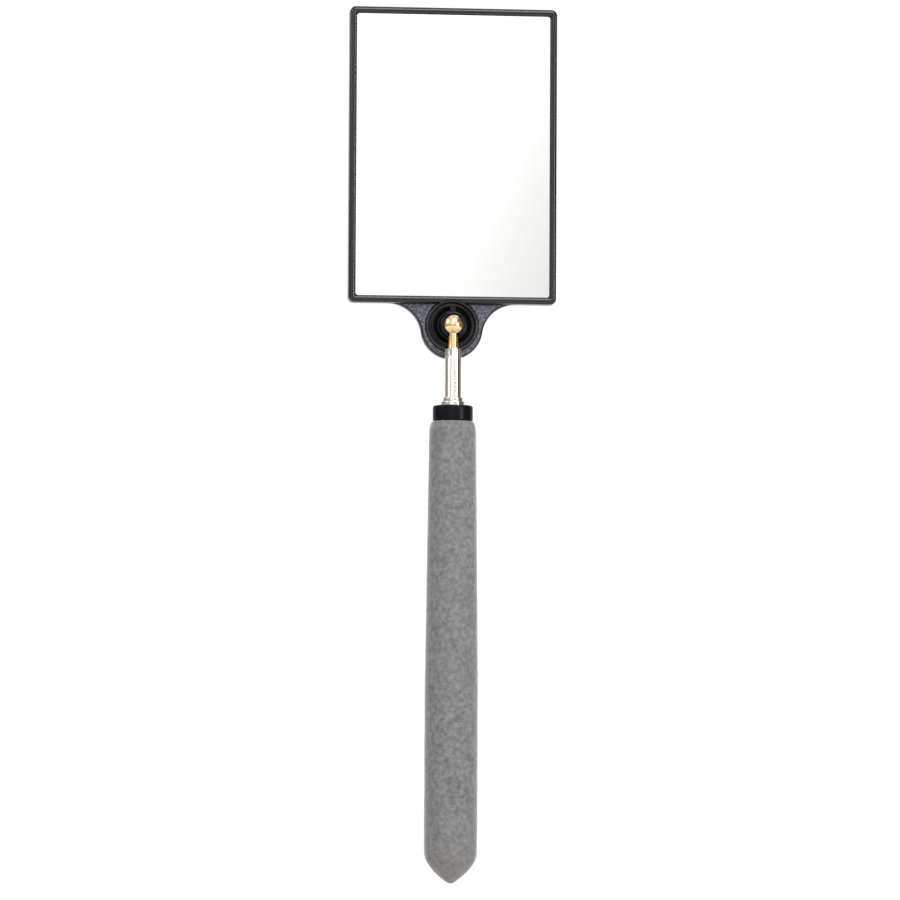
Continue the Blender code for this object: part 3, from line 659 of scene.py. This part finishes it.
def boss():
    """Raised ring round the turret, crowned across its width, and the smaller boss behind."""
    rear = 6.2
    rear_round = 0.3
    inside_tab = depth(1.0)
    profile = [(0.0, depth(RING_FRONT))]
    profile += arc((RING - RING_CROWN, depth(RING_FRONT - RING_CROWN)), RING_CROWN, 90, 0, 10)
    profile += [(RING, inside_tab), (rear, inside_tab)]
    profile += arc((rear - rear_round, depth(rear_round - REAR_BOSS)), rear_round, 0, -90, 6)
    profile += [(0.0, depth(-REAR_BOSS))]
    return turned(profile, closed=False)


def turret_hole():
    """Stepped cutter for the turret's pocket, the web's hole and the rear counterbore."""
    above = depth(6.0)
    below = depth(-2.0)
    flare = RING - 0.2
    floor = depth(2.6)
    web_hole = 3.1
    web_back = depth(1.5)
    counterbore = 4.6
    chamfer = 0.2
    profile = [(0.0, above), (flare, above), (flare, depth(RING_FRONT))]
    for x, y in arc((0.0, 0.0), RING_CROWN, 90, 0, 10):
        profile.append((POCKET + RING_CROWN - x, depth(RING_FRONT - RING_CROWN) + y))
    profile += [(POCKET, floor), (web_hole, floor), (web_hole, web_back), (counterbore, web_back)]
    profile += [(counterbore, depth(chamfer - REAR_BOSS)), (counterbore + chamfer, depth(-REAR_BOSS))]
    profile += [(counterbore + chamfer, below), (0.0, below)]
    return turned(profile, closed=False)


def make_mirror_frame(material):
    moulding = head_piece("frame_moulding", tray())
    cut(moulding, head_piece("tab_tool", tab()), "UNION")
    cut(moulding, head_piece("boss_tool", boss()), "UNION")
    cut(moulding, head_piece("hole_tool", turret_hole()))
    sharpen(moulding)
    dress(moulding, "mirror", material, "mirror_frame")


def make_glass(silver, edge):
    """Sheet of glass with a ground chamfer; its front shows the silvering, its rim the bare glass."""
    gap = RIM + 0.08
    levels = [(gap, 2.3), (gap, 4.15), (gap + 0.15, 4.3)]
    shape = stacked([mirror_outline(inset, 0.8, level) for inset, level in levels])
    glass = head_piece("mirror_pane", shape, sharp=20.0)
    dress(glass, "mirror", silver, "mirror_glass")
    glass.data.materials.append(edge)
    for face in glass.data.polygons:
        if face.normal.y > -0.95:
            face.material_index = 1


def turret_section():
    """Hub with the ring's groove, dished disc, and the collet that wraps the ball."""
    bore = 1.9
    hub = 2.9
    groove = 2.35
    disc = 6.5
    disc_back = 2.8
    rim_top = 4.8
    rim_round = 0.3
    dish = 3.8
    dish_round = 0.5
    collet = 4.0
    collet_top = 7.8
    collet_round = 0.45
    seat = radius_of("ball_stud") + 0.06
    hub_side = [(bore, -0.7), (hub - 0.2, -0.7), (hub, -0.5), (hub, -0.45)]
    hub_side += [(groove, -0.45), (groove, 0.35), (hub, 0.35), (hub, disc_back)]
    section = [(r, depth(d)) for r, d in hub_side]
    section += [(disc - 0.2, depth(disc_back)), (disc, depth(disc_back + 0.2))]
    section += arc((disc - rim_round, depth(rim_top - rim_round)), rim_round, 0, 90, 6)
    section += arc((disc - 0.45, depth(rim_top - rim_round)), rim_round, 90, 125, 4)
    section += arc((collet + dish_round, depth(dish + dish_round)), dish_round, 305, 180, 10)
    section += arc((collet - collet_round, depth(collet_top - collet_round)), collet_round, 0, 90, 10)
    lip = math.degrees(math.asin(depth(collet_top) / seat))
    foot = -math.degrees(math.acos(bore / seat))
    section += arc((0.0, 0.0), seat, lip, foot, 24)
    return section


def stem_slot():
    """Cutter for the slot that the stem swings through: open in front, and down from the ball."""
    half_width = 1.8
    outline = arc((0.0, 0.0), half_width, 180, 360, 24) + [(half_width, 3.0), (-half_width, 3.0)]
    return tipped(raised(outline, 0.0, 5.0), 90.0, "X")


def spine_rib():
    """Rib from the disc's rim up to the collet's back, drawn from the side."""
    half_width = 0.85
    inner = 3.6
    outer = 6.1
    root = depth(3.3)
    side = [(root, inner), (root, outer), (depth(5.0), outer), (depth(6.6), inner)]
    return tipped(raised(side, -half_width, half_width), -90.0, "Y")


def make_turret(material):
    """Dished disc with a split collet, a slot for the stem and a rib behind the collet."""
    turret = head_piece("turret_moulding", turned(turret_section()))
    cut(turret, head_piece("slot_tool", stem_slot()))
    cut(turret, head_piece("rib_tool", spine_rib()), "UNION")
    edges = turret.modifiers.new("edges", "BEVEL")
    edges.width = 0.09 * MM
    edges.segments = 2
    edges.limit_method = "ANGLE"
    edges.angle_limit = math.radians(50)
    bake_modifiers(turret)
    sharpen(turret)
    dress(turret, "turret", material, "socket_turret")


def make_retaining_ring(steel):
    """Open ring with broken edges, seen in the counterbore behind the tab."""
    back = depth(-0.25)
    inner = 2.55
    outer = 4.1
    thickness = 0.4
    edge = 0.05
    section = [(inner, back + edge), (inner + edge, back), (outer - edge, back), (outer, back + edge)]
    front = back + thickness
    section += [(outer, front - edge), (outer - edge, front), (inner + edge, front), (inner, front - edge)]
    ring = head_piece("retaining_ring_bevelled", turned(section, sweep=300.0, start=-60.0))
    dress(ring, "turret", steel, "retaining_ring")


def make_tension_screw(steel):
    """Slotted grub screw with two turns of thread, seen in the hub's bore from behind."""
    back = depth(-0.5)
    radius = 1.7
    length = 1.7
    pitch = 0.5
    profile = [(0.0, back), (radius - 0.2, back), (radius, back + 0.2)]
    for turn in range(2):
        foot = back + 0.3 + turn * pitch
        profile += [(radius, foot), (radius - 0.22, foot + pitch / 2), (radius, foot + pitch - 0.05)]
    profile += [(radius, back + length - 0.3), (radius - 0.4, back + length), (0.0, back + length)]
    screw = head_piece("tension_screw_threaded", turned(profile, closed=False, sides=64))
    half = 0.3                 # half the groove's width
    reach = 2.5
    outline = [(-half, -reach), (half, -reach), (half, reach), (-half, reach)]
    cut(screw, head_piece("groove_tool", raised(outline, back - 1.0, back + 0.7)))
    sharpen(screw)
    dress(screw, "turret", steel, "tension_screw")


def finish_cad_nodes(materials):
    """Give the inner pieces, which keep their CAD shape, their real material."""
    for node, material in materials.items():
        mesh = nodes[node].data
        mesh.materials.clear()
        mesh.materials.append(material)


# ---------------------------------------------------------------- studio, in metres and degrees

def from_front(azimuth, elevation, distance):
    """Point at a distance from the origin: azimuth 0 is in front (-Y), 90 to the right (+X)."""
    turn = math.radians(azimuth)
    rise = math.radians(elevation)
    level = distance * math.cos(rise)
    return Vector((level * math.sin(turn), -level * math.cos(turn), distance * math.sin(rise)))


def make_floor():
    """Round table below the tool that glows with painted light: dimmer in the middle, full white at its
    edge.
    """
    radius = 1.3
    below_tool = 0.22
    shape = bmesh.new()
    bmesh.ops.create_circle(shape, cap_ends=True, radius=radius, segments=96)
    mesh = bpy.data.meshes.new("floor")
    shape.to_mesh(mesh)
    shape.free()
    floor = bpy.data.objects.new("floor", mesh)
    floor.location.z = cad_box[0].z - below_tool
    bpy.context.collection.objects.link(floor)
    s = Shader("pale_floor")
    s.set(Base_Color=(0.5, 0.5, 0.5), Roughness=0.9, Emission_Color=(1.0, 1.0, 1.0))
    away = s.node("ShaderNodeVectorMath", operation="LENGTH")
    s.tree.links.new(s.place, away.inputs[0])
    # painted glow: the floor emits light of its own, weakest under the tool and full white towards its edge
    s.link(s.spread(away.outputs["Value"], 0.3, 1.2, 0.35, 1.0), "Emission Strength")
    mesh.materials.append(s.material)


def room_by_azimuth(n, azimuth):
    """The room round the tool: 0 is in front, 90 to the right, 180 behind."""
    stops = [
        (-180, (1.0, 1.0, 1.0)), (-146, (0.95, 0.95, 0.95)), (-129, (0.25, 0.235, 0.215)),
        (-85, (0.42, 0.40, 0.37)), (-52, (0.46, 0.44, 0.42)), (-30, (0.30, 0.30, 0.30)),
        (40, (0.30, 0.29, 0.27)), (69, (0.13, 0.115, 0.09)), (113, (0.19, 0.17, 0.14)),
        (146, (0.95, 0.95, 0.95)), (180, (1.0, 1.0, 1.0)),
    ]
    around = n.node("ShaderNodeValToRGB")
    n.feed(n.math("DIVIDE", n.math("ADD", azimuth, 180.0), 360.0), around.inputs["Fac"])
    elements = around.color_ramp.elements
    while len(elements) < len(stops):
        elements.new(0.5)
    for element, (degrees, colour) in zip(elements, stops):
        element.position = (degrees + 180) / 360
        element.color = (*colour, 1.0)
    return around.outputs["Color"]


def make_world():
    """Studio: a wide white panel in front, dim flanks that draw dark streaks on metal, white behind."""
    world = bpy.data.worlds.new("studio")
    bpy.context.scene.world = world
    world.use_nodes = True
    world.node_tree.nodes.clear()
    n = Nodes(world.node_tree)
    way = n.split(n.node("ShaderNodeTexCoord").outputs["Generated"])
    azimuth = n.math("DEGREES", n.math("ARCTAN2", way["X"], n.math("MULTIPLY", way["Y"], -1.0)))
    elevation = n.math("DEGREES", n.math("ARCSINE", way["Z"]))

    def fade(value, start, end, first=0.0, last=1.0):
        return n.spread(value, start, end, first, last, shape="SMOOTHSTEP")

    # the front panel is brighter to the left of a slanting line
    diagonal = n.math("SUBTRACT", azimuth, n.math("MULTIPLY", elevation, 0.5))
    panel = n.mix(fade(diagonal, 1.5, 5.0), (1.35, 1.34, 1.32), (0.83, 0.83, 0.82))
    inside = n.math("MULTIPLY", fade(azimuth, -46.0, -28.0), fade(azimuth, 34.0, 56.0, 1.0, 0.0))
    inside = n.math("MULTIPLY", inside, fade(elevation, -8.0, -1.0))
    inside = n.math("MULTIPLY", inside, fade(elevation, 28.0, 42.0, 1.0, 0.0))
    room = n.mix(inside, room_by_azimuth(n, azimuth), panel)
    overhead = (0.9, 0.9, 0.9)
    room = n.mix(fade(elevation, 40.0, 60.0), room, overhead)

    lit = n.node("ShaderNodeBackground")
    n.feed(room, lit.inputs["Color"])
    plain = n.node("ShaderNodeBackground")
    n.feed((1.0, 1.0, 1.0), plain.inputs["Color"])
    n.feed(1.05, plain.inputs["Strength"])
    choose = n.node("ShaderNodeMixShader")
    n.feed(n.node("ShaderNodeLightPath").outputs["Is Camera Ray"], choose.inputs["Fac"])
    n.feed(lit.outputs["Background"], choose.inputs[1])
    n.feed(plain.outputs["Background"], choose.inputs[2])
    n.feed(choose.outputs["Shader"], n.node("ShaderNodeOutputWorld").inputs["Surface"])


def add_softbox(name, place, aim_height, size, power):
    """Rectangular light, aimed at a height on the stem's axis."""
    light = bpy.data.lights.new(name, "AREA")
    light.shape = "RECTANGLE"
    light.size, light.size_y = size
    light.energy = power
    lamp = bpy.data.objects.new(name, light)
    lamp.location = place
    lamp.rotation_euler = (Vector((0, 0, aim_height)) - place).to_track_quat("-Z", "Y").to_euler()
    bpy.context.collection.objects.link(lamp)


def make_lights():
    add_softbox("key_softbox", from_front(14.0, 52.0, 0.9), 0.08, (0.55, 0.35), 4.2)
    add_softbox("side_strip", from_front(46.0, 8.0, 0.8), 0.08, (0.10, 0.4), 1.9)
    add_softbox("fill_softbox", from_front(-72.0, 32.0, 0.9), 0.03, (0.5, 0.5), 1.8)


def make_camera():
    """Long lens, from a little left of and below the tool's middle, rolled by a third of a degree."""
    distance = 1.6
    view_height = 0.2774
    left = 0.0008              # the aim is this far left of the stem
    below = 0.0022             # and this far below the tool's middle
    roll = math.radians(0.3)
    target = Vector((-left, 0.0, (cad_box[0].z + cad_box[1].z) / 2 - below))
    back = from_front(-6.0, -3.5, 1.0)
    camera = bpy.data.cameras.new("camera")
    camera.lens = camera.sensor_width * distance / view_height
    holder = bpy.data.objects.new("camera", camera)
    holder.location = target + back * distance
    aim = (-back).to_track_quat("-Z", "Y").to_matrix().to_4x4()
    holder.rotation_euler = (aim @ Matrix.Rotation(roll, 4, "Z")).to_euler()
    bpy.context.collection.objects.link(holder)
    bpy.context.scene.camera = holder


def main():
    along_stem = (1.0, 1.0, 0.02)
    round_stem = (0.05, 0.05, 1.0)
    no_direction = (1.0, 1.0, 1.0)
    nylon = black_nylon()
    abs_plastic = black_abs()
    nickel = metal("nickel_plate", (0.80, 0.77, 0.73), (0.72, 0.68, 0.62), (0.12, 0.18), along_stem, 0.0005)
    brass = metal("brass", (0.86, 0.66, 0.36), (0.74, 0.53, 0.26), (0.18, 0.28), round_stem)
    steel = metal("spring_steel", (0.52, 0.52, 0.54), (0.42, 0.41, 0.40), (0.24, 0.36), no_direction)
    aluminium = metal("aluminium", (0.80, 0.81, 0.82), (0.70, 0.70, 0.71), (0.28, 0.4), along_stem)
    make_grip(foam_vinyl())
    make_collar(nylon)
    make_tubes(nickel)
    make_ball_stud(brass)
    make_mirror_frame(abs_plastic)
    make_glass(silvered_mirror(), ground_glass_edge())
    make_turret(gloss_moulding())
    make_retaining_ring(steel)
    make_tension_screw(steel)
    finish_cad_nodes({
        "handle_tube": aluminium, "rear_plug": nylon,
        "middle_shim_front": brass, "middle_shim_rear": brass,
        "inner_shim_front": brass, "inner_shim_rear": brass,
        "ball_pad": acetal(), "pad_spring": steel, "wave_washer": steel, "flat_washer": steel,
        "adhesive_pad": foam_tape(),
    })
    make_world()
    make_lights()
    make_floor()
    make_camera()
    bpy.context.scene.view_settings.view_transform = "Standard"


main()
